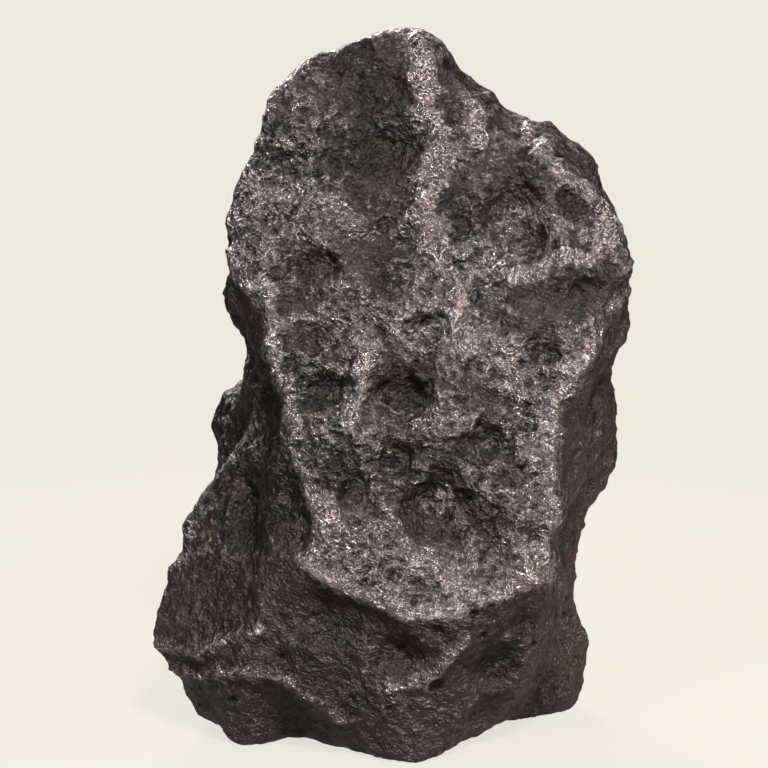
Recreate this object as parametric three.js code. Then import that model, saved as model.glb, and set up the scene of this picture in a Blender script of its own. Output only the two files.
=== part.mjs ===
// Iron meteorite: one solid lump of nickel-iron, standing on end on its worn lower corners.
// Millimetres, +Z up, +X right, +Y to the back. The origin is under the middle of the stone's box.
//
// The lump is described as a surveyor would: by the corners and edge points where its faces meet.
// The faces between them are filled in, the edges are rounded, and then the hollows that melting
// left in the surface (thumbprints, or regmaglypts) are scooped out one by one.
import * as THREE from "three";
import { ConvexHull } from "three/addons/math/ConvexHull.js";
import { ImprovedNoise } from "three/addons/math/ImprovedNoise.js";
import { mergeVertices } from "three/addons/utils/BufferGeometryUtils.js";

// ---- Driving dimensions ----
const HALF_SIZE = new THREE.Vector3(67, 50, 102); // half of the lump's width, thickness and height
const HEART = new THREE.Vector3(0, 2, 92); // a point inside that sees every part of the skin
const SKIN_DETAIL = 21; // splits of each icosahedron edge: 20 * (n + 1)^2 triangles
const ROUNDING_PASSES = 2; // how many times the edges between the facets are softened
const SWELL_LENGTH = 14; // size of the slow swells between the hollows
const SWELL_HEIGHT = 2; // how far the highest of them could stand out

// ---- Survey points, [x, y, z] ----
const CROWN = [
  [7, 8, 203], // the peak
  [18, 8, 196],
  [28, 9, 184],
  [36, 10, 175], // saddle between the peak and the right shoulder
  [46, 8, 175],
  [55, 5, 169],
  [62, 2, 160],
  [65, 0, 150],
  [67, -3, 139],
  [70, -6, 126], // widest point on the right
  [66, -4, 113],
  [-2, 8, 200],
  [-13, 8, 197],
  [-27, 5, 190],
  [-35, 0, 184], // left shoulder
  [-36, -5, 174],
  [-40, -8, 164],
  [-46, -12, 152],
  [-47, -14, 142],
];
const RIGHT_FLANK = [
  [65, 2, 108],
  [65, 8, 92],
  [66, 10, 82],
  [68, 12, 72], // knuckle above the waist
  [59, 14, 64],
  [55, 14, 57],
  [55, 2, 56],
  [53, 14, 47], // waist
  [53, 2, 42],
  [53, 14, 36],
  [58, 12, 26],
  [60, 10, 14],
  [60, 8, 6],
  [54, 5, -2], // right foot
];
const LEFT_FLANK = [
  [-44, -2, 134],
  [-46, 5, 122],
  [-41, 10, 115],
  [-40, 3, 105], // waist
  [-40, 16, 103],
  [-44, 24, 95],
  [-53, 28, 85], // rear lobe
  [-53, 28, 77],
  [-50, 23, 69],
  [-52, 6, 66],
  [-60, 3, 57],
  [-61, -3, 47],
  [-61, -7, 36],
  [-73, -10, 24], // left tip
];
const BASE_RIM = [
  [-66, -11, 19],
  [-60, -13, 13],
  [-55, -17, 6],
  [-48, -23, 0],
  [-43, -28, -5], // left foot
  [-34, -22, 0],
  [-24, -22, -1],
  [-16, -26, -1],
  [-8, -33, -1],
  [7, -43, -6], // front foot
  [16, -36, -1],
  [23, -27, 1],
  [31, -16, 4],
  [40, -10, 8],
  [38, -2, 0],
];
const RIGHT_EDGE = [
  [37, 0, 171],
  [45, -5, 166],
  [54, -10, 159],
  [59, -14, 151],
  [63, -17, 143],
  [60, -20, 121],
  [56, -25, 113],
  [48, -31, 105],
  [44, -34, 97],
  [45, -37, 86],
  [45, -40, 72],
  [44, -42, 55],
];
const BROW = [
  [30, -50, 52],
  [18, -53, 47],
  [7, -54, 45],
  [-3, -52, 49],
  [-13, -49, 54],
  [-24, -46, 60],
];
const LEFT_EDGE = [
  [-18, -41, 70],
  [-24, -37, 83],
  [-27, -33, 96],
  [-29, -30, 105],
  [-33, -27, 115],
  [-32, -23, 125],
  [-40, -18, 132],
];
const FACE_RIDGE = [
  [8, 0, 192],
  [12, -8, 173],
  [10, -15, 157],
  [10, -20, 143],
];
const WING_RIDGE = [
  [-36, -8, 96],
  [-34, -18, 87],
  [-33, -26, 75],
  [-34, -32, 62],
  [-36, -37, 46],
];
const LIP = [
  [-53, -29, 27],
  [-39, -38, 30],
  [-52, -27, 22],
  [-37, -36, 24],
  [-25, -40, 21],
  [-11, -42, 12],
];
const LOWER_FACE = [
  [-13, -45, 42],
  [3, -47, 34],
  [1, -47, 23],
  [11, -49, 26],
  [16, -51, 33],
  [21, -52, 38],
  [31, -46, 37],
  [42, -38, 40],
  [41, -33, 22],
  [25, -40, 18],
  [14, -42, 10],
  [50, -14, 39],
  [48, -22, 27],
];
const UNDERCUT = [
  [-47, -20, 11],
  [-25, -26, 7],
];
const UNDERSIDE = [
  [0, -10, 5],
  [-24, 32, -4], // rear feet
  [28, 36, -3],
  [2, 30, 5],
];
const BACK = [
  [-46, 28, 14],
  [-8, 46, 14],
  [26, 48, 16],
  [47, 28, 16],
  [-50, 20, 40],
  [-30, 42, 42],
  [0, 52, 46],
  [30, 50, 44],
  [46, 32, 42],
  [-40, 40, 76],
  [-16, 50, 84],
  [16, 52, 80],
  [44, 42, 76],
  [57, 28, 92],
  [-36, 30, 110],
  [-14, 42, 118],
  [18, 46, 112],
  [46, 38, 116],
  [60, 18, 120],
  [-38, 18, 140],
  [-20, 30, 150],
  [8, 38, 148],
  [36, 34, 144],
  [56, 16, 144],
  [-32, 12, 168],
  [-10, 22, 178],
  [18, 24, 174],
  [40, 20, 164],
  [4, 16, 194],
];
const SURVEY = [
  ...CROWN, ...RIGHT_FLANK, ...LEFT_FLANK, ...BASE_RIM, ...RIGHT_EDGE, ...BROW, ...LEFT_EDGE,
  ...FACE_RIDGE, ...WING_RIDGE, ...LIP, ...LOWER_FACE, ...UNDERCUT, ...UNDERSIDE, ...BACK,
].map(([x, y, z]) => new THREE.Vector3(x, y, z));

// ---- Hollows, [across, up, half width, half height, lean in degrees, depth] ----
// Measured square on to the side they are in, across from the stone's middle line.
const FRONT_HOLLOWS = [
  [-5, 164, 17, 20, 20, 3.5],
  [-3, 183, 10, 8, 0, 2.5],
  [35, 148, 10, 12.5, 20, 5], // the clearest thumbprint
  [20, 148, 5, 6, 0, 1.5],
  [31, 164, 11, 6, 0, 2],
  [51, 153, 7, 8, 0, 2.5],
  [-35, 150, 7, 7, 0, 2],
  [-1, 143, 12, 6, 5, 2.5],
  [-20, 136, 10, 5, 0, 2.5],
  [29, 127, 8, 11, 15, 3],
  [55, 128, 9, 7, -15, 3.5],
  [43, 115, 7.5, 8, 0, 2.5],
  [11, 122, 8, 7, 0, 2],
  [-21, 117, 9, 5, 0, 2],
  [4, 102, 12, 8, 10, 3.5],
  [-18, 103, 10, 7, 0, 2.5],
  [2, 86, 8.5, 6.5, 0, 2],
  [26, 90, 8, 7.5, 0, 2.5],
  [32, 81, 8, 5, 0, 1.5],
  [14, 72, 12, 12.5, 0, 6], // the deepest thumbprint
  [25, 59, 13, 8, 0, 3],
  [39, 65, 5, 6, 0, 2],
  [-10, 75, 7.5, 8.5, 0, 2],
  [-25, 71, 7, 14, 0, 4],
  [-40, 65, 6, 17, 0, 4],
  [-15, 42, 18, 12, 0, 2],
  [2, 33, 10, 8, 0, 2.5],
  [29, 28, 9, 10, 0, 4],
  [36, 40, 11, 5, 20, 3],
];
const LEFT_HOLLOWS = [
  [-6, 170, 12, 12, 0, 4],
  [-12, 145, 14, 10, 0, 5],
  [4, 118, 9, 14, 0, 3],
  [-26, 118, 11, 13, 0, 5],
  [-2, 84, 12, 14, 0, 4],
  [-10, 50, 13, 12, 0, 4],
  [-30, 58, 11, 12, 0, 4],
  [-16, 22, 14, 9, 0, 4],
];
const RIGHT_HOLLOWS = [
  [-10, 95, 10, 16, 0, 4],
  [12, 132, 12, 14, 0, 4],
  [30, 108, 10, 10, 0, 4],
  [28, 76, 12, 10, 0, 4],
  [-12, 58, 14, 13, 0, 5],
  [20, 44, 13, 12, 0, 5],
  [-4, 26, 12, 9, 0, 4],
  [30, 20, 10, 8, 0, 3],
];
const BACK_HOLLOWS = [
  [-20, 158, 16, 11, 15, 4],
  [6, 172, 10, 11, -20, 4],
  [25, 160, 9, 8, 0, 3],
  [-46, 140, 10, 14, 0, 4],
  [-16, 133, 13, 14, 10, 6],
  [14, 136, 19, 13, -25, 5],
  [-38, 110, 12, 11, 0, 4],
  [-12, 108, 13, 9, 20, 5],
  [18, 104, 10, 16, 0, 5],
  [-27, 88, 9, 7, 0, 3],
  [2, 82, 12, 12, -15, 6],
  [33, 80, 9, 14, 10, 4],
  [-43, 66, 9, 14, 0, 3],
  [-18, 58, 18, 12, -15, 6],
  [14, 52, 10, 9, 20, 4],
  [38, 44, 11, 12, 0, 4],
  [-38, 30, 10, 9, 0, 3],
  [-8, 26, 17, 9, 8, 5],
  [20, 24, 9, 10, 0, 3],
];
const SIDES = [
  { turn: 0, hollows: FRONT_HOLLOWS },
  { turn: 90, hollows: RIGHT_HOLLOWS },
  { turn: 180, hollows: BACK_HOLLOWS },
  { turn: -90, hollows: LEFT_HOLLOWS },
];

// ---- Faces between the survey points ----
// Seen from the heart, the points cover a ball. The hull of their directions says which three
// points bound each facet.
function facetsOf(points) {
  const directions = points.map((p) => p.clone().sub(HEART).divide(HALF_SIZE).normalize());
  const placeOf = new Map(directions.map((d, i) => [d, points[i]]));
  const hull = new ConvexHull().setFromPoints(directions);
  return hull.faces.map((face) => {
    const ends = [face.edge, face.edge.next, face.edge.prev].map((e) => e.head().point);
    const corners = ends.map((d) => placeOf.get(d).clone().sub(HEART));
    return new THREE.Triangle(...corners);
  });
}

// Where the ray from the heart along `direction` meets the facets.
function skinPoint(direction, facets) {
  const ray = new THREE.Ray(new THREE.Vector3(), direction);
  const hit = new THREE.Vector3();
  for (const { a, b, c } of facets) {
    if (ray.intersectTriangle(a, b, c, false, hit)) return hit.clone().add(HEART);
  }
  throw new Error("the facets leave a gap");
}

function facettedSkin() {
  const facets = facetsOf(SURVEY);
  const ball = new THREE.IcosahedronGeometry(1, SKIN_DETAIL);
  ball.deleteAttribute("normal");
  ball.deleteAttribute("uv");
  const skin = mergeVertices(ball, 1e-5);
  const place = skin.getAttribute("position");
  const direction = new THREE.Vector3();
  for (let i = 0; i < place.count; i++) {
    direction.fromBufferAttribute(place, i).multiply(HALF_SIZE).normalize();
    const p = skinPoint(direction, facets);
    place.setXYZ(i, p.x, p.y, p.z);
  }
  return skin;
}

// ---- Rounding ----
function neighboursOf(skin) {
  const near = Array.from({ length: skin.getAttribute("position").count }, () => new Set());
  const index = skin.index.array;
  for (let i = 0; i < index.length; i += 3) {
    const [a, b, c] = [index[i], index[i + 1], index[i + 2]];
    near[a].add(b).add(c);
    near[b].add(c).add(a);
    near[c].add(a).add(b);
  }
  return near;
}

// Moves every vertex by `share` of the way to the middle of its neighbours.
function relax(skin, near, share) {
  const place = skin.getAttribute("position");
  const old = place.clone();
  for (let i = 0; i < place.count; i++) {
    const middle = new THREE.Vector3();
    for (const j of near[i]) middle.add(new THREE.Vector3().fromBufferAttribute(old, j));
    middle.divideScalar(near[i].size);
    const p = new THREE.Vector3().fromBufferAttribute(old, i).lerp(middle, share);
    place.setXYZ(i, p.x, p.y, p.z);
  }
}

// Each pass smooths, then swells by a little more, so that the lump keeps its size.
function roundEdges(skin, passes) {
  const near = neighboursOf(skin);
  for (let pass = 0; pass < passes; pass++) {
    relax(skin, near, 0.5);
    relax(skin, near, -0.42);
  }
}

// ---- Hollows ----
// Pushes in what lies under each hollow's oval, most in the middle and nothing at the rim.
function scoop(skin, turn, hollows) {
  const angle = THREE.MathUtils.degToRad(turn);
  const across = new THREE.Vector3(Math.cos(angle), Math.sin(angle), 0);
  const inward = new THREE.Vector3(-Math.sin(angle), Math.cos(angle), 0);
  skin.computeVertexNormals();
  const place = skin.getAttribute("position");
  const facing = skin.getAttribute("normal");
  for (let i = 0; i < place.count; i++) {
    const p = new THREE.Vector3().fromBufferAttribute(place, i);
    const n = new THREE.Vector3().fromBufferAttribute(facing, i);
    const turnedToUs = THREE.MathUtils.smoothstep(-n.dot(inward), 0.2, 0.6);
    const spot = new THREE.Vector2(p.dot(across), p.z);
    let depth = 0;
    for (const [x, z, halfWidth, halfHeight, lean, deepest] of hollows) {
      const away = spot.clone().sub(new THREE.Vector2(x, z));
      away.rotateAround(new THREE.Vector2(), -THREE.MathUtils.degToRad(lean));
      const reach = (away.x / halfWidth) ** 2 + (away.y / halfHeight) ** 2;
      depth += deepest * Math.max(0, 1 - reach);
    }
    p.addScaledVector(inward, depth * turnedToUs);
    place.setXYZ(i, p.x, p.y, p.z);
  }
}

// Slow swells between the hollows.
function undulate(skin) {
  const noise = new ImprovedNoise();
  const place = skin.getAttribute("position");
  const facing = skin.getAttribute("normal");
  for (let i = 0; i < place.count; i++) {
    const p = new THREE.Vector3().fromBufferAttribute(place, i);
    const n = new THREE.Vector3().fromBufferAttribute(facing, i);
    const q = p.clone().divideScalar(SWELL_LENGTH);
    p.addScaledVector(n, SWELL_HEIGHT * noise.noise(q.x, q.y, q.z));
    place.setXYZ(i, p.x, p.y, p.z);
  }
}

// ---- Feet ----
// The feet are surveyed a little below the ground, and worn flat where they meet it.
function wearFeet(skin) {
  const place = skin.getAttribute("position");
  for (let i = 0; i < place.count; i++) place.setZ(i, Math.max(place.getZ(i), 0));
}

function centreOnFloor(skin) {
  skin.computeBoundingBox();
  const { min, max } = skin.boundingBox;
  skin.translate(-(min.x + max.x) / 2, -(min.y + max.y) / 2, -min.z);
}

const skin = facettedSkin();
roundEdges(skin, ROUNDING_PASSES);
for (const { turn, hollows } of SIDES) scoop(skin, turn, hollows);
skin.computeVertexNormals();
undulate(skin);
wearFeet(skin);
centreOnFloor(skin);
skin.computeVertexNormals();

const darkIron = new THREE.MeshStandardMaterial({ color: 0x3a3533, roughness: 0.45, metalness: 0.8 });
const meteorite = new THREE.Mesh(skin, darkIron);
meteorite.name = "meteorite";

const stone = new THREE.Group();
stone.add(meteorite);
export default stone;
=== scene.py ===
from math import cos, radians, sin

import bpy
import numpy as np
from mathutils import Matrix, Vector, noise


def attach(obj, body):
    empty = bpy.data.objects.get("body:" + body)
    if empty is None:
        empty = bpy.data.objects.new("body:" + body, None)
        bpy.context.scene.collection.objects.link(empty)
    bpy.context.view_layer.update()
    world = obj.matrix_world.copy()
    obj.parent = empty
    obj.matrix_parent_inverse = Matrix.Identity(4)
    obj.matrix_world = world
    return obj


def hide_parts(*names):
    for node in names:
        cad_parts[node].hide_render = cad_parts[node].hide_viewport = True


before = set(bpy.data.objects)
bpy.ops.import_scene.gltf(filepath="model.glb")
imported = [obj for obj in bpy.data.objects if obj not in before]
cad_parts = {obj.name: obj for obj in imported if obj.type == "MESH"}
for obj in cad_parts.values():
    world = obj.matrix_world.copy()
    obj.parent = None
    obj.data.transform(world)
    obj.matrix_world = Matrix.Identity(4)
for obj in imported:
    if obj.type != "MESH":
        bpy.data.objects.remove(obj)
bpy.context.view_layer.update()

# ---- The lump: its skin ----
# One natural piece of nickel-iron, melted and scooped by its fall through the air. The frame's
# solid gives its size and its faces; a skin of small quads is shrunk onto a copy of it, and the
# work of the fall is then carved into that skin.
MM = 0.001
SKIN_QUAD = 1.0 * MM
WELD = 0.01 * MM
ROUNDING_LEVELS = 2
EASING_FACTOR = 0.5
EASING_PASSES = 4

frame_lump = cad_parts["meteorite"]
bpy.ops.object.select_all(action="DESELECT")
lump = bpy.data.objects.new("iron_lump", frame_lump.data.copy())
bpy.context.scene.collection.objects.link(lump)
bpy.context.view_layer.objects.active = lump
lump.select_set(True)
bpy.ops.object.mode_set(mode="EDIT")
bpy.ops.mesh.select_all(action="SELECT")
bpy.ops.mesh.remove_doubles(threshold=WELD)
bpy.ops.object.mode_set(mode="OBJECT")
rounding = lump.modifiers.new("rounding", "SUBSURF")
rounding.levels = ROUNDING_LEVELS
rounding.render_levels = ROUNDING_LEVELS
bpy.ops.object.modifier_apply(modifier=rounding.name)
lump.data.remesh_voxel_size = SKIN_QUAD
bpy.ops.object.voxel_remesh()
easing = lump.modifiers.new("easing", "SMOOTH")
easing.factor = EASING_FACTOR
easing.iterations = EASING_PASSES
bpy.ops.object.modifier_apply(modifier=easing.name)


def skin_points():
    flat = np.empty(len(lump.data.vertices) * 3, np.float32)
    lump.data.vertices.foreach_get("co", flat)
    return flat.reshape(-1, 3).astype(float) / MM


def skin_normals():
    flat = np.empty(len(lump.data.vertices) * 3, np.float32)
    lump.data.vertex_normals.foreach_get("vector", flat)
    return flat.reshape(-1, 3).astype(float)


def move_skin(points):
    lump.data.vertices.foreach_set("co", (points * MM).astype(np.float32).ravel())
    lump.data.update()


def ramp(value, start, end):
    """0 at start, 1 at end, smooth between and level outside."""
    t = np.clip((value - start) / (end - start), 0.0, 1.0)
    return t * t * (3.0 - 2.0 * t)


# How far each seed moves a pattern along x, y and z, so that no two are alike.
WANDER_STEP = (17.3, -9.1, 5.7)
SCALLOP_STEP = (11.9, 7.7, -13.1)
SCALLOP_WALL = 0.75  # how far from its middle a cell's wall is level, as a part of its size


def wander(points, size, seed, octaves=3, roughness=0.5):
    """Slow noise between about -1 and 1, with features `size` mm across."""
    shift = Vector([seed * step for step in WANDER_STEP])
    return np.array([
        noise.fractal(Vector(p) / size + shift, 1.0 - roughness, 2.0, octaves,
                      noise_basis="PERLIN_ORIGINAL")
        for p in points
    ])


def scallop(points, size, seed):
    """0 in the middle of each cell of a packing `size` mm across, up to 1 on the walls."""
    shift = Vector([seed * step for step in SCALLOP_STEP])
    nearest = np.array([noise.voronoi(Vector(p) / size + shift)[0][0] for p in points])
    return np.clip(nearest / SCALLOP_WALL, 0.0, 1.0) ** 2


# ---- The lump: thumbprints ----
# Hollows that hot gas scooped out. Each is set out square on to the side it is in:
# (across, up, half width, half height, lean in degrees, depth, height of its rim), in mm.
FRONT_PRINTS = [
    (-5, 164, 16, 19, 20, 1.5, 0.3),
    (-3, 183, 9, 8, 0, 1.6, 0.2),
    (-18, 182, 4, 4, 0, 0.9, 0.5),
    (35, 148, 9.5, 12, 15, 2.6, 0.9),
    (35, 146, 5.5, 7, 15, 1.2, 0.1),
    (20, 148, 4.5, 5.5, 0, 1.4, 0.5),
    (19, 138, 2.2, 2.4, 0, 0.8, 0.6),
    (4, 155, 5, 4, 0, 1.2, 0.3),
    (31, 165, 10, 5, 10, 1.2, 0.3),
    (51, 153, 6, 7, 0, 1.4, 0.3),
    (-35, 148, 6, 6, 0, 1.6, 0.5),
    (-1, 144, 10, 6, 5, 1.8, 0.3),
    (-20, 136, 9, 4.5, -8, 1.6, 0.3),
    (28, 126, 7.5, 10, 15, 2.2, 0.6),
    (54, 127, 8, 7, 0, 2.4, 0.5),
    (43, 116, 6.5, 7, 0, 2.0, 0.5),
    (11, 121, 7, 5, -10, 1.4, 0.3),
    (-21, 117, 8, 4, 5, 1.2, 0.3),
    (5, 102, 9.5, 8, 0, 2.6, 0.4),
    (-18, 103, 9, 6, 0, 1.4, 0.3),
    (2, 86, 7.5, 5.5, 0, 1.8, 0.4),
    (18, 92, 5, 4, 20, 1.2, 0.4),
    (26, 90, 7, 6.5, 0, 2.0, 0.6),
    (26, 89, 2.4, 2.4, 0, -0.8, 0.0),
    (33, 81, 7.5, 4.5, 0, 1.6, 0.4),
    (14, 70, 11, 11.5, 0, 2.8, 0.9),
    (28, 68, 5, 6, -20, 1.4, 0.5),
    (25, 58, 12, 7, 0, 1.8, 0.5),
    (39, 66, 4.5, 5.5, 0, 1.4, 0.4),
    (-10, 75, 7, 8, 10, 1.4, 0.3),
    (-12, 62, 7, 4, 0, 1.0, 0.3),
    (-25, 71, 6, 13, 0, 1.8, 0.3),
    (-40, 65, 5, 16, 5, 1.8, 0.3),
    (-15, 44, 17, 11, 0, 1.6, 0.3),
    (2, 33, 9, 7, 0, 1.6, 0.3),
    (29, 28, 8.5, 9, 0, 2.0, 0.4),
    (36, 40, 10, 4, 20, 1.4, 0.2),
    (28, 13, 9, 6, 0, 1.6, 0.2),
]
RIGHT_PRINTS = [
    (4, 150, 9, 12, 10, 2.0, 0.4), (-12, 122, 10, 11, 0, 2.4, 0.5), (12, 118, 9, 13, -10, 2.0, 0.4),
    (-2, 95, 12, 9, 0, 2.6, 0.5), (-24, 88, 8, 10, 0, 1.8, 0.4), (22, 84, 10, 12, 15, 2.2, 0.5),
    (-8, 66, 12, 11, 0, 2.2, 0.4), (16, 55, 11, 9, 0, 2.4, 0.5), (34, 60, 7, 10, 0, 1.6, 0.3),
    (-30, 58, 9, 12, 0, 2.0, 0.4), (-14, 36, 11, 9, 0, 2.4, 0.5), (10, 30, 12, 10, 0, 2.2, 0.4),
    (34, 28, 9, 12, 0, 2.2, 0.4), (-36, 26, 8, 9, 0, 1.6, 0.3),
]
BACK_PRINTS = [
    (-12, 172, 12, 14, 10, 2.2, 0.4), (14, 168, 11, 12, -10, 2.0, 0.4), (-38, 150, 12, 13, 0, 2.6, 0.5),
    (0, 143, 13, 11, 0, 2.8, 0.6), (32, 142, 12, 13, 0, 2.2, 0.4), (-24, 118, 12, 12, 0, 2.4, 0.5),
    (16, 114, 14, 13, 15, 2.8, 0.5), (-46, 108, 8, 13, 0, 1.8, 0.4), (38, 104, 9, 12, 0, 2.0, 0.4),
    (-6, 90, 12, 10, 0, 2.4, 0.5), (-32, 80, 12, 13, 0, 2.6, 0.5), (24, 78, 13, 12, 0, 2.4, 0.5),
    (0, 58, 13, 13, 0, 2.8, 0.6), (46, 56, 11, 13, -20, 2.2, 0.4), (-26, 46, 11, 11, 0, 2.2, 0.4),
    (24, 38, 13, 12, 0, 2.6, 0.5), (-4, 24, 12, 9, 0, 2.2, 0.4), (50, 24, 10, 10, 0, 2.0, 0.4),
    (-36, 18, 9, 10, 0, 1.8, 0.4),
]
LEFT_PRINTS = [
    (-4, 160, 8, 13, 0, 1.8, 0.3), (12, 138, 9, 11, 0, 2.2, 0.4), (-14, 132, 9, 13, 10, 2.2, 0.4),
    (2, 110, 11, 12, 0, 2.4, 0.5), (-22, 100, 9, 11, 0, 2.0, 0.4), (22, 96, 9, 12, 0, 2.2, 0.4),
    (-6, 82, 11, 10, 0, 2.4, 0.5), (14, 66, 11, 12, 0, 2.2, 0.5), (-28, 68, 10, 12, 0, 2.2, 0.4),
    (-4, 46, 11, 11, 0, 2.2, 0.4), (28, 42, 9, 12, 0, 2.0, 0.4), (-24, 28, 10, 10, 0, 2.0, 0.4),
    (8, 20, 11, 9, 0, 1.8, 0.4),
]
PRINT_SWAY = 2.2  # how far a print's edge strays from its oval, in mm
PRINT_SWAY_LENGTH = 8.0  # and over what length, in mm
PRINT_SHARE = 0.65  # how much of a print's depth is carved
RIM_SHARE = 0.4  # and how much of its rim's height is raised
RIM_PLACE = 1.1  # from the middle, as a part of the print's half width
RIM_WIDTH = 0.2
SMOOTH_DEPTH = 2.6  # a print this deep, in mm, is left almost without scallops


def axes_of(turn):
    a = radians(turn)
    return np.array([cos(a), sin(a), 0.0]), np.array([-sin(a), cos(a), 0.0])


def press_prints(turn, prints):
    """Carves one side's prints, and returns how far inside a print each point is, from 0 to 1."""
    points, normals = skin_points(), skin_normals()
    across, inward = axes_of(turn)
    facing = ramp(-(normals @ inward), 0.15, 0.55)
    near = facing > 0
    x = points @ across
    z = points[:, 2].copy()
    x[near] += PRINT_SWAY * wander(points[near], PRINT_SWAY_LENGTH, turn + 1)
    z[near] += PRINT_SWAY * wander(points[near], PRINT_SWAY_LENGTH, turn + 2)
    push = np.zeros(len(points))
    pressed = np.zeros(len(points))
    for px, pz, half_w, half_h, lean, depth, rim in prints:
        a = radians(lean)
        dx, dz = x - px, z - pz
        u = (dx * cos(a) + dz * sin(a)) / half_w
        v = (dz * cos(a) - dx * sin(a)) / half_h
        r = np.sqrt(u * u + v * v)
        bowl = np.clip(1.15 - r * r, 0.0, 1.0)
        push += PRINT_SHARE * depth * bowl * (0.45 + 0.55 * bowl)
        smoothed = min(1.0, abs(depth) / SMOOTH_DEPTH)
        pressed = np.maximum(pressed, smoothed * np.clip(2.0 * bowl, 0.0, 1.0))
        push -= RIM_SHARE * rim * np.exp(-((r - RIM_PLACE) / RIM_WIDTH) ** 2)
    points -= normals * (push * facing)[:, None]
    move_skin(points)
    return pressed * facing


pressed = press_prints(0, FRONT_PRINTS)
for turn, prints in ((90, RIGHT_PRINTS), (180, BACK_PRINTS), (270, LEFT_PRINTS)):
    pressed = np.maximum(pressed, press_prints(turn, prints))

# ---- The lump: ridges ----
# Sharp crests left standing between the thumbprints, as lines of (across, up) on the front.
# Each ends with its height and half width in mm.
RIDGES = [
    ([(6, 197), (10, 182), (9, 178), (13, 174), (14, 167), (12, 161), (9, 159), (10, 150), (10, 142)],
     1.8, 3.6),
    ([(21, 182), (22, 178), (25, 174), (25, 169)], 0.9, 2.2),
    ([(38, 172), (43, 166), (49, 161), (57, 154), (60, 148), (63, 142)], 0.9, 3.0),
    ([(1, 23), (11, 26), (16, 33), (21, 38)], 1.8, 3.4),
    ([(-69, 25), (-62, 27), (-54, 27), (-47, 32), (-36, 37)], 1.8, 3.2),
    ([(-62, 20), (-51, 21), (-41, 25), (-29, 24), (-21, 18), (-12, 12)], 1.9, 3.2),
    ([(-24, 59), (-13, 52), (-2, 48), (7, 45), (18, 47), (30, 51), (45, 54)], 2.0, 3.6),
    ([(45, 72), (45, 85), (44, 98), (50, 107), (56, 113), (60, 121), (67, 128)], 1.5, 3.2),
    ([(-43, 139), (-41, 132), (-34, 130), (-32, 120), (-33, 115), (-29, 105), (-27, 96), (-25, 83),
      (-18, 70)], 1.5, 3.0),
    ([(-5, 113), (-8, 110), (-7, 104), (-9, 99), (-11, 96)], 1.3, 1.8),
    ([(32, 136), (40, 134), (43, 138), (50, 139), (58, 138)], 1.0, 2.4),
    ([(10, 60), (20, 53), (28, 49), (42, 53)], 0.8, 2.4),
    ([(12, 143), (20, 131), (18, 120), (33, 109), (36, 99)], 0.7, 2.2),
]
RIDGE_SWAY = 0.9
RIDGE_SWAY_LENGTH = 5.0
FAR_AWAY = 1e9


def raise_ridges(ridges):
    """Raises the ridges, and returns how near one each point is, from 0 to about 1."""
    points, normals = skin_points(), skin_normals()
    facing = ramp(-normals[:, 1], 0.0, 0.4)
    x = points[:, 0] + RIDGE_SWAY * wander(points, RIDGE_SWAY_LENGTH, 11)
    z = points[:, 2] + RIDGE_SWAY * wander(points, RIDGE_SWAY_LENGTH, 12)
    lift = np.zeros(len(points))
    nearness = np.zeros(len(points))
    for line, height, half_width in ridges:
        away = np.full(len(points), FAR_AWAY)
        for (ax, az), (bx, bz) in zip(line, line[1:]):
            along = np.array([bx - ax, bz - az], float)
            length_squared = along @ along
            t = np.clip(((x - ax) * along[0] + (z - az) * along[1]) / length_squared, 0.0, 1.0)
            away = np.minimum(away, np.hypot(x - ax - t * along[0], z - az - t * along[1]))
        lift = np.maximum(lift, height * np.clip(1.0 - away / half_width, 0.0, 1.0) ** 1.3)
        near = min(1.0, height) * np.clip(1.3 - away / half_width, 0.0, 1.0)
        nearness = np.maximum(nearness, near)
    points += normals * (lift * facing)[:, None]
    move_skin(points)
    return nearness * facing


ridge_paint = raise_ridges(RIDGES)

# The two ends of each edge, and how many neighbours each point has, to blur a value over the skin.
BLUR_SHARE = 0.6
edges = np.empty(len(lump.data.edges) * 2, np.int32)
lump.data.edges.foreach_get("vertices", edges)
start, end = edges.reshape(-1, 2).T
point_count = len(lump.data.vertices)
near_count = np.bincount(start, minlength=point_count) + np.bincount(end, minlength=point_count)


def blurred(field, passes):
    for _ in range(passes):
        total = np.bincount(start, field[end], point_count) + np.bincount(end, field[start], point_count)
        field = (1.0 - BLUR_SHARE) * field + BLUR_SHARE * total / near_count
    return field


def stand_proud(points, normals, passes):
    """How far each point stands out from the skin round it, in mm. More passes take in more skin."""
    smooth = np.stack([blurred(points[:, k], passes) for k in range(3)], 1)
    return ((points - smooth) * normals).sum(1)


# ---- The lump: scallops and grain ----
# Between the large prints the metal is dimpled all over, deepest on the flat front, and broken
# into ledges. The outline of that front as (across, up), in mm.
FACE = [
    (-36, 187), (-27, 191), (-13, 199), (7, 204), (18, 197), (28, 186), (36, 177), (46, 177),
    (55, 171), (62, 161), (66, 150), (68, 135), (60, 121), (54, 112), (48, 105), (44, 96), (45, 85),
    (45, 70), (46, 55), (30, 50), (18, 46), (7, 44), (-2, 47), (-13, 51), (-24, 59), (-18, 70),
    (-25, 83), (-27, 96), (-30, 105), (-33, 116), (-33, 126), (-41, 131), (-47, 141), (-47, 152),
    (-41, 164), (-37, 176),
]
# (size and height in mm, seed)
SCALLOPS = ((21.0, 2.2, 1), (11.0, 2.1, 4))
SCALLOP_LEVEL = 0.4  # a scallop's own height that leaves the skin where it is
# (size and height in mm, lean in degrees, seed)
LEDGES = ((11.0, 1.1, 24, 51), (6.0, 0.5, -12, 52))
UNDERSIDE = 0.2  # how much of a ledge is its steep underside
FLAT_EDGE = 1e-9


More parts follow.
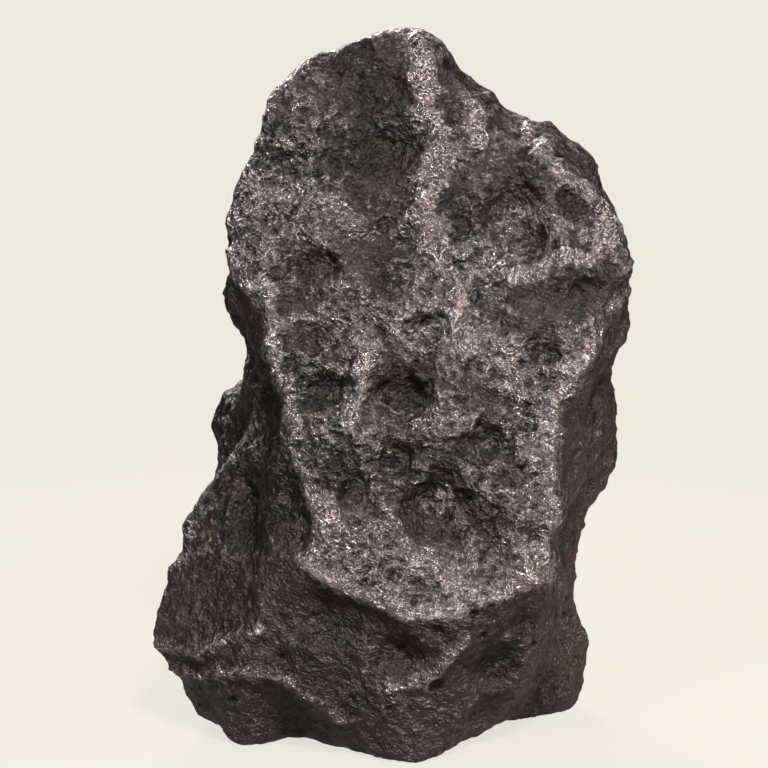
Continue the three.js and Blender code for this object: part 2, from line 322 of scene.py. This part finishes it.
def inside(outline, x, z):
    """1 inside the outline and 0 outside."""
    crossed = np.zeros(len(x), bool)
    for (ax, az), (bx, bz) in zip(outline, outline[1:] + outline[:1]):
        spans = (az > z) != (bz > z)
        side = (bx - ax) * (z - az) / (bz - az if bz != az else FLAT_EDGE) + ax
        crossed ^= spans & (x < side)
    return crossed.astype(float)


points, normals = skin_points(), skin_normals()
drift = np.stack([wander(points, 9.0, s, 2) for s in (21, 22, 23)], 1)
bent = points + 2.0 * drift
face_x = points[:, 0] + 1.5 * wander(points, 6.0, 33)
face_z = points[:, 2] + 1.5 * wander(points, 6.0, 34)
on_face = blurred(inside(FACE, face_x, face_z) * ramp(-normals[:, 1], -0.1, 0.3), 5)
lower_faces = (1.0 - on_face) * ramp(-normals[:, 1], 0.1, 0.5) * ramp(face_z, 75.0, 45.0)
depth = 0.5 + 0.5 * on_face - 0.3 * lower_faces
unevenness = ramp(wander(points, 28.0, 24), -0.35, 0.35)
depth *= 1.0 - 0.7 * pressed
lift = np.zeros(len(points))
for size, height, seed in SCALLOPS:
    lift += height * depth * (scallop(bent, size, seed) - SCALLOP_LEVEL)
lift += (0.9 + 0.7 * unevenness) * depth * (scallop(bent, 6.0, 2) - SCALLOP_LEVEL)
lift += 0.4 * (scallop(bent, 3.2, 3) - SCALLOP_LEVEL)
lift += 0.25 * wander(points, 3.5, 25, 3, 0.7)
lift += 1.4 * (1.0 - 0.7 * lower_faces) * wander(points, 20.0, 26, 2)
sharp = ramp(np.abs(stand_proud(points, normals, 60)), 0.8, 2.2)
# Broken ledges that run down to one side, steep on their undersides.
for size, height, lean, seed in LEDGES:
    a = radians(lean)
    course = (points[:, 2] * cos(a) + points[:, 0] * sin(a)) / size
    course += 0.9 * wander(points, 2.0 * size, seed)
    step = course - np.floor(course)
    ledge = np.where(step < UNDERSIDE, step / UNDERSIDE, (1.0 - step) / (1.0 - UNDERSIDE))
    lift += height * ledge * depth * ramp(wander(points, 3.0 * size, seed + 5), -0.1, 0.3)
# The edges between the faces, and the ridges, keep their line.
lift *= 1.0 - 0.7 * blurred(sharp, 6)
points += normals * lift[:, None]
move_skin(points)

# ---- The lump: pits ----
# Small round holes where rust has eaten inclusions out of the metal, each with a faint raised rim.
# They are set out on the front as (across, up, radius, depth), in mm.
PITS = [
    (13, 41, 2.3, 1.8), (23, 46, 1.4, 1.2), (3, 34, 1.3, 1.2), (5, 32, 1.2, 1.1), (42, 18, 1.8, 1.4),
    (26, 39, 1.4, 1.2), (40, 32, 1.5, 1.2), (13, 24, 2.4, 1.4), (0, 17, 1.4, 1.2), (-18, 182, 1.8, 1.2),
    (19, 138, 1.3, 1.0), (-35, 148, 1.6, 1.1), (-8, 176, 1.4, 1.0), (-2, 195, 1.6, 1.0),
    (-17, 126, 1.6, 1.0), (36, 171, 1.5, 1.0), (46, 165, 1.3, 1.0), (-30, 30, 1.5, 1.0),
    (-22, 36, 1.2, 0.9), (-44, 15, 1.5, 1.0),
]
PIT_RIM_HEIGHT = 0.2
PIT_RIM_PLACE = 1.15  # from the middle, as a part of the pit's radius
PIT_RIM_WIDTH = 0.2
points, normals = skin_points(), skin_normals()
facing = ramp(-normals[:, 1], 0.0, 0.4)
push = np.zeros(len(points))
for px, pz, radius, depth in PITS:
    r = np.hypot(points[:, 0] - px, points[:, 2] - pz) / radius
    push += depth * np.clip(1.0 - r * r, 0.0, 1.0) ** 0.7
    push -= PIT_RIM_HEIGHT * np.exp(-((r - PIT_RIM_PLACE) / PIT_RIM_WIDTH) ** 2)
points -= normals * (push * facing)[:, None]
points[:, 2] = np.maximum(points[:, 2], 0.0)
move_skin(points)

# ---- The lump: wear, and painted light and shade ----
# The flat front is worn bright in patches, and the hollows and the other sides keep their crust. The
# patches also paint light and shade:
# painted sheen on lit facets and in the middles of bowls, and painted shade on the upper walls of the
# hollows.
# Patches as (across, up, half width, half height, how much) in mm, below 0 where crust is left as
# painted shade.
WORN_AND_PAINTED_LIGHT = [
    (-36, 150, 11, 13, 0.8), (-28, 181, 9, 7, 0.3), (9, 190, 4, 12, 0.5), (15, 170, 6, 8, 0.6),
    (31, 168, 9, 5, 0.2), (10, 147, 7, 13, 0.9), (23, 131, 15, 9, 0.9), (60, 143, 8, 8, 0.6),
    (-12, 122, 18, 6, 0.7), (15, 117, 9, 7, 0.8), (37, 108, 12, 10, 0.6), (-25, 107, 8, 13, 0.3),
    (-11, 94, 10, 7, 0.5), (13, 98, 9, 7, 0.6), (38, 88, 9, 10, 0.6), (-11, 65, 15, 9, 0.8),
    (14, 74, 5, 6, 0.8), (12, 55, 20, 7, 0.8), (43, 64, 8, 10, 0.6), (34, 146, 7, 8, 0.8),
    (-22, 157, 12, 11, 0.7), (-27, 173, 10, 9, 0.3), (22, 60, 10, 6, 0.5),
    (-4, 166, 13, 16, -0.6), (1, 186, 8, 7, -0.6), (-25, 165, 9, 7, -0.3), (37, 158, 9, 4, -0.7),
    (49, 131, 14, 6, -0.9), (-17, 138, 14, 4, -0.5), (41, 122, 9, 5, -0.6), (4, 107, 11, 6, -1.0),
    (2, 87, 8, 5, -0.4), (6, 73, 4, 9, -0.5), (27, 96, 7, 3, -0.6), (25, 70, 4, 8, -0.4),
    (50, 165, 8, 5, -0.4), (28, 184, 16, 8, -0.6), (-22, 193, 14, 7, -0.4), (58, 158, 6, 10, -0.3),
    (-35, 119, 5, 10, -0.6),
]
WEAR_ALL_OVER = 0.32
PATCH_WEAR_AND_LIGHT = 0.7
CREST_FINE = 0.25  # mm that a small crest stands out when it counts in full
CREST_BROAD = 1.2


def paint(name, values):
    layer = lump.data.attributes.new(name, "FLOAT", "POINT")
    layer.data.foreach_set("value", values.astype(np.float32))


points, normals = skin_points(), skin_normals()
fine = stand_proud(points, normals, 4)
broad = stand_proud(points, normals, 40)
# How far the skin stands out from the skin round it: below 0 in the hollows, where it paints shade, and
# above 0 on the crests.
paint("crest", np.clip(fine / CREST_FINE, -1, 1) * 0.5 + np.clip(broad / CREST_BROAD, -1, 1) * 0.5)

wear_and_light = WEAR_ALL_OVER + 0.25 * wander(points, 12.0, 31)
# Patches above 0 add bare metal and painted sheen; patches below 0 keep dark crust as painted shade on
# the upper walls of the hollows.
for px, pz, half_w, half_h, amount in WORN_AND_PAINTED_LIGHT:
    patch = np.exp(-((face_x - px) / half_w) ** 2 - ((face_z - pz) / half_h) ** 2)
    wear_and_light += amount * PATCH_WEAR_AND_LIGHT * patch
off_face = 1.0 - on_face
back_and_top = ramp(normals[:, 1] + normals[:, 2], 0.0, 0.9)
# Worn metal with painted sheen and painted shade on the front, and wear alone on the other sides.
paint("burnish_and_painted_light", on_face * np.clip(wear_and_light, 0.0, 1.0) + off_face * 0.35 * back_and_top * wear_and_light)
# The right side and the lower faces, found by which way the skin faces, get an olive tone that partly
# paints warm light.
right_side = blurred(ramp(normals[:, 0], 0.25, 0.7), 20)
paint("flank", np.maximum(right_side, 0.7 * lower_faces) * off_face)
paint("ridge", ridge_paint * (0.65 + 0.35 * on_face))


# ---- The lump: oxide crust and bare metal, with painted light and shade ----
# Brown-black oxide with a few rust spots, made blackest in the hollows as painted shade, and olive on
# the right side and the lower faces, partly a painted warm light. Grey metal shows through it in grains,
# most on the ridges and the worn patches, and the grains also stand in for glints as painted glints.
class Wire:
    """An output socket that maths can be written with."""

    def __init__(self, tree, socket):
        self.tree = tree
        self.socket = socket

    def maths(self, operation, *values):
        return self.node("ShaderNodeMath", {"operation": operation}, dict(enumerate(values)))

    def node(self, kind, settings=None, inputs=None, output=0):
        made = self.tree.nodes.new(kind)
        for name, value in (settings or {}).items():
            setattr(made, name, value)
        for name, value in (inputs or {}).items():
            if isinstance(value, Wire):
                self.tree.links.new(value.socket, made.inputs[name])
            else:
                made.inputs[name].default_value = value
        return Wire(self.tree, made.outputs[output])

    def __add__(self, other):
        return self.maths("ADD", self, other)

    __radd__ = __add__

    def __sub__(self, other):
        return self.maths("SUBTRACT", self, other)

    def __rsub__(self, other):
        return self.maths("SUBTRACT", other, self)

    def __mul__(self, other):
        return self.maths("MULTIPLY", self, other)

    __rmul__ = __mul__

    def between(self, low, high):
        """0 at low, 1 at high, smooth between and level outside."""
        return self.node("ShaderNodeMapRange", {"interpolation_type": "SMOOTHSTEP"},
                         {"Value": self, "From Min": low, "From Max": high})

    def mixed(self, first, second):
        """The colour this far from the first to the second."""
        return self.node("ShaderNodeMix", {"data_type": "RGBA"}, {0: self, 6: first, 7: second}, 2)


iron = bpy.data.materials.new("meteoritic_iron")
iron.use_nodes = True
tree = iron.node_tree
surface = tree.nodes["Principled BSDF"]
place = Wire(tree, tree.nodes.new("ShaderNodeTexCoord").outputs["Object"])


def attribute(name):
    return place.node("ShaderNodeAttribute", {"attribute_name": name}, output=2)


def moved(shift):
    """The place on the lump, moved so that patterns of one kind don't repeat each other."""
    return place.node("ShaderNodeMapping", {}, {"Vector": place, "Location": (shift, -shift, shift)})


def speckle(size, detail, roughness, distortion=0.0, shift=0.0):
    return place.node("ShaderNodeTexNoise", {"noise_dimensions": "3D"},
                      {"Vector": moved(shift), "Scale": 1.0 / size, "Detail": detail,
                       "Roughness": roughness, "Distortion": distortion})


def dimples(size, smooth, shift):
    return place.node("ShaderNodeTexVoronoi", {"feature": "SMOOTH_F1"},
                      {"Vector": moved(shift), "Scale": 1.0 / size, "Smoothness": smooth, "Detail": 1.0})


crest_wire = attribute("crest")
burnish_and_painted_light_wire = attribute("burnish_and_painted_light")
ridge_wire = attribute("ridge")


def crinkle(size, stretch, lean, shift):
    """Sharp little folds, drawn out along a line that leans down to the right by this many degrees."""
    turned = place.node("ShaderNodeMapping", {"vector_type": "TEXTURE"},
                        {"Vector": place, "Location": (shift, shift, -shift),
                         "Rotation": (0.0, radians(lean), 0.0), "Scale": (stretch, 1.0, 1.0)})
    return place.node("ShaderNodeTexNoise",
                      {"noise_dimensions": "3D", "noise_type": "RIDGED_MULTIFRACTAL"},
                      {"Vector": turned, "Scale": 1.0 / size, "Detail": 5.0, "Roughness": 0.6,
                       "Offset": 0.9, "Gain": 1.6, "Distortion": 0.5})


def tilted_grains(size, shift):
    """Grains of metal, each a small flat that leans its own way. Height in mm."""
    here = moved(shift)
    grain = place.node("ShaderNodeTexVoronoi", {"feature": "F1"}, {"Vector": here, "Scale": 1.0 / size},
                       "Color")
    middle = Wire(tree, grain.socket.node.outputs["Position"])
    lean = place.node("ShaderNodeVectorMath", {"operation": "SUBTRACT"}, {0: grain, 1: (0.5, 0.5, 0.5)})
    away = place.node("ShaderNodeVectorMath", {"operation": "SUBTRACT"}, {0: here, 1: middle})
    tilt = place.node("ShaderNodeVectorMath", {"operation": "DOT_PRODUCT"}, {0: lean, 1: away}, "Value")
    return tilt * (1.0 / MM)


folds = crinkle(4.5 * MM, 1.8, 30, 0.2)
fine_grain = speckle(0.9 * MM, 2.0, 0.6)
mid_grain = speckle(3.0 * MM, 4.0, 0.65, 0.4, 0.31)
tone = speckle(9.0 * MM, 4.0, 0.6, 0.5, 0.47)
broad_tone = speckle(24 * MM, 3.0, 0.5, 0.3, 0.77)
small_dimples = dimples(2.4 * MM, 0.4, 0.13)
small_grains = tilted_grains(0.8 * MM, 0.21)
large_grains = tilted_grains(3.0 * MM, 0.63)
wrinkles = crinkle(1.6 * MM, 2.2, 20, 0.4)
dust = speckle(0.42 * MM, 1.0, 0.5, 0.0, 0.11)

# The skin's fine relief, in mm. Folds and dimples stand out most where the crust is worn off and where
# sheen is painted.
relief = (folds * 0.55 + wrinkles * 0.20 + small_dimples) * (burnish_and_painted_light_wire * 0.45 + 0.55)
relief = relief + large_grains * 0.30 + small_grains * 0.30
relief = relief + (mid_grain - 0.5) * 2.0 + (fine_grain - 0.5) * 0.5 + (dust - 0.5) * 0.2
bump = place.node("ShaderNodeBump", {}, {"Height": relief, "Distance": 1.0 * MM, "Strength": 1.0})

# Bare metal shows where wear and grain add up to enough, and its fine grains are also painted glints:
# none below the first sum, all above the second.
METAL_AND_GLINT_FROM = 1.39
METAL_AND_GLINT_FULL = 1.74
# Worn patches, ridges and crests add bare metal, partly as painted sheen and highlight; the patches
# below 0 hold painted shade.
polish_and_painted_light = burnish_and_painted_light_wire * 0.45 + (tone - 0.5) * 0.4 + ridge_wire * 0.35 + crest_wire * 0.13
grain = wrinkles * 0.20 + folds * 0.10 + dust * 0.6 + fine_grain * 0.5 + mid_grain * 0.8
bare_and_glint = (grain + polish_and_painted_light).between(METAL_AND_GLINT_FROM, METAL_AND_GLINT_FULL)

streaks = crinkle(3.0 * MM, 5.0, 84, 0.55).between(0.2, 0.9)
olive_crust_and_warm_light = (0.070, 0.049, 0.036, 1.0)
black_crust_and_shade = (0.010, 0.0076, 0.0070, 1.0)
brown_crust = (0.062, 0.039, 0.033, 1.0)
metal_and_glint = (0.50, 0.446, 0.438, 1.0)
rust = (0.10, 0.026, 0.010, 1.0)
crust_and_painted_light = (broad_tone + (mid_grain - 0.5) * 0.6).between(0.36, 0.62).mixed(black_crust_and_shade, brown_crust)
# Olive streaks on the right side and the lower faces: streaked crust tone and painted warm light.
crust_and_painted_light = (attribute("flank") * streaks * 0.8).mixed(crust_and_painted_light, olive_crust_and_warm_light)
# Painted shade: the crust is blacker the deeper the skin lies in a hollow.
crust_and_painted_light = (crest_wire.between(-1.0, 0.1) * 0.5 + 0.5).mixed(black_crust_and_shade, crust_and_painted_light)
rust_spots = speckle(11 * MM, 5.0, 0.65, 0.0, 0.52).between(0.64, 0.70) * 0.7
colour = rust_spots.mixed(crust_and_painted_light, rust)
# Bright metal colour in fine grains: bare metal and painted glints.
colour = bare_and_glint.mixed(colour, metal_and_glint)
tree.links.new(colour.socket, surface.inputs["Base Color"])
metallic = bare_and_glint * 0.65 + 0.35
tree.links.new(metallic.socket, surface.inputs["Metallic"])
roughness = 0.36 - bare_and_glint * 0.15 + (mid_grain - 0.5) * 0.4
tree.links.new(roughness.socket, surface.inputs["Roughness"])
tree.links.new(bump.socket, surface.inputs["Normal"])
surface.inputs["IOR"].default_value = 1.7

lump.data.materials.clear()
lump.data.materials.append(iron)
bpy.ops.object.shade_smooth()
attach(lump, "root")
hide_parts("meteorite")

# ---- The studio ----
# A pale floor that fades into a pale surround, and soft lights round it. The floor and the
# surround look pale but throw little light on the lump, so that its dark crust stays dark.
PALE = (0.847, 0.815, 0.730, 1.0)
FLOOR_RADIUS = 600 * MM
FADE_FROM = 160 * MM
FADE_TO = 420 * MM
bpy.ops.object.select_all(action="DESELECT")
bpy.ops.mesh.primitive_circle_add(vertices=96, radius=FLOOR_RADIUS, fill_type="NGON", location=(0, 0, 0))
floor = bpy.context.object
floor.name = "floor"
paper = bpy.data.materials.new("paper")
paper.use_nodes = True
paper_tree = paper.node_tree
sheet = paper_tree.nodes["Principled BSDF"]
spot = Wire(paper_tree, paper_tree.nodes.new("ShaderNodeTexCoord").outputs["Object"])
from_middle = spot.node("ShaderNodeVectorMath", {"operation": "LENGTH"}, {0: spot}, 1)
fade = 1.0 - from_middle.between(FADE_FROM, FADE_TO)
paper_tree.links.new(fade.socket, sheet.inputs["Alpha"])
sheet.inputs["Base Color"].default_value = (0.10, 0.097, 0.088, 1)
sheet.inputs["Roughness"].default_value = 1.0
sheet.inputs["Specular IOR Level"].default_value = 0.0
sheet.inputs["Emission Strength"].default_value = 0.88
looked_at = Wire(paper_tree, paper_tree.nodes.new("ShaderNodeLightPath").outputs["Is Camera Ray"])
glow = looked_at.mixed((0.24, 0.213, 0.182, 1.0), PALE)
paper_tree.links.new(glow.socket, sheet.inputs["Emission Color"])
floor.data.materials.append(paper)

surround = bpy.data.worlds.new("surround")
surround.use_nodes = True
bpy.context.scene.world = surround
nodes, links = surround.node_tree.nodes, surround.node_tree.links
seen = nodes["Background"]
seen.inputs["Color"].default_value = PALE
seen.inputs["Strength"].default_value = 1.0
felt = nodes.new("ShaderNodeBackground")
felt.inputs["Color"].default_value = (0.90, 0.84, 0.78, 1)
felt.inputs["Strength"].default_value = 0.03
rays = nodes.new("ShaderNodeLightPath")
either = nodes.new("ShaderNodeMixShader")
links.new(rays.outputs["Is Camera Ray"], either.inputs[0])
links.new(felt.outputs[0], either.inputs[1])
links.new(seen.outputs[0], either.inputs[2])
links.new(either.outputs[0], nodes["World Output"].inputs["Surface"])

AIM = Vector((-1.4 * MM, 0, 99.3 * MM))  # the middle of the lump as it is looked at


def soft_light(name, turn, rise, distance, width, height, watts, colour):
    """A soft box aimed at the lump. It is turned from the front to the right, and rises, in degrees."""
    a, e = radians(turn), radians(rise)
    lamp = bpy.data.lights.new(name, "AREA")
    lamp.shape = "RECTANGLE"
    lamp.size = width
    lamp.size_y = height
    lamp.energy = watts
    lamp.color = colour
    holder = bpy.data.objects.new(name, lamp)
    out = Vector((sin(a) * cos(e), -cos(a) * cos(e), sin(e)))
    holder.location = AIM + out * distance
    holder.rotation_euler = out.to_track_quat("Z", "Y").to_euler()
    bpy.context.scene.collection.objects.link(holder)


soft_light("key", 12, 46, 1.0, 0.20, 0.16, 10.8, (1.0, 0.98, 0.95))
soft_light("side", 85, 15, 1.1, 0.3, 0.5, 4, (1.0, 0.88, 0.76))
soft_light("front", 30, 25, 1.2, 0.16, 0.20, 2.0, (0.96, 0.97, 1.0))
soft_light("left", -28, 50, 1.0, 0.14, 0.14, 2.0, (0.94, 0.97, 1.0))
soft_light("back", 195, 35, 1.2, 0.5, 0.3, 16, (1.0, 0.97, 0.93))

CAMERA_RISE = 12.0
CAMERA_DISTANCE = 914 * MM
LENS = 150  # mm, on a sensor 36 mm wide
lens = bpy.data.cameras.new("camera")
lens.lens = LENS
lens.sensor_width = 36
lens.clip_start = 0.01
camera = bpy.data.objects.new("camera", lens)
out = Vector((0, -cos(radians(CAMERA_RISE)), sin(radians(CAMERA_RISE))))
camera.location = AIM + out * CAMERA_DISTANCE
camera.rotation_euler = out.to_track_quat("Z", "Y").to_euler()
bpy.context.scene.collection.objects.link(camera)
bpy.context.scene.camera = camera
bpy.context.scene.view_settings.view_transform = "Standard"
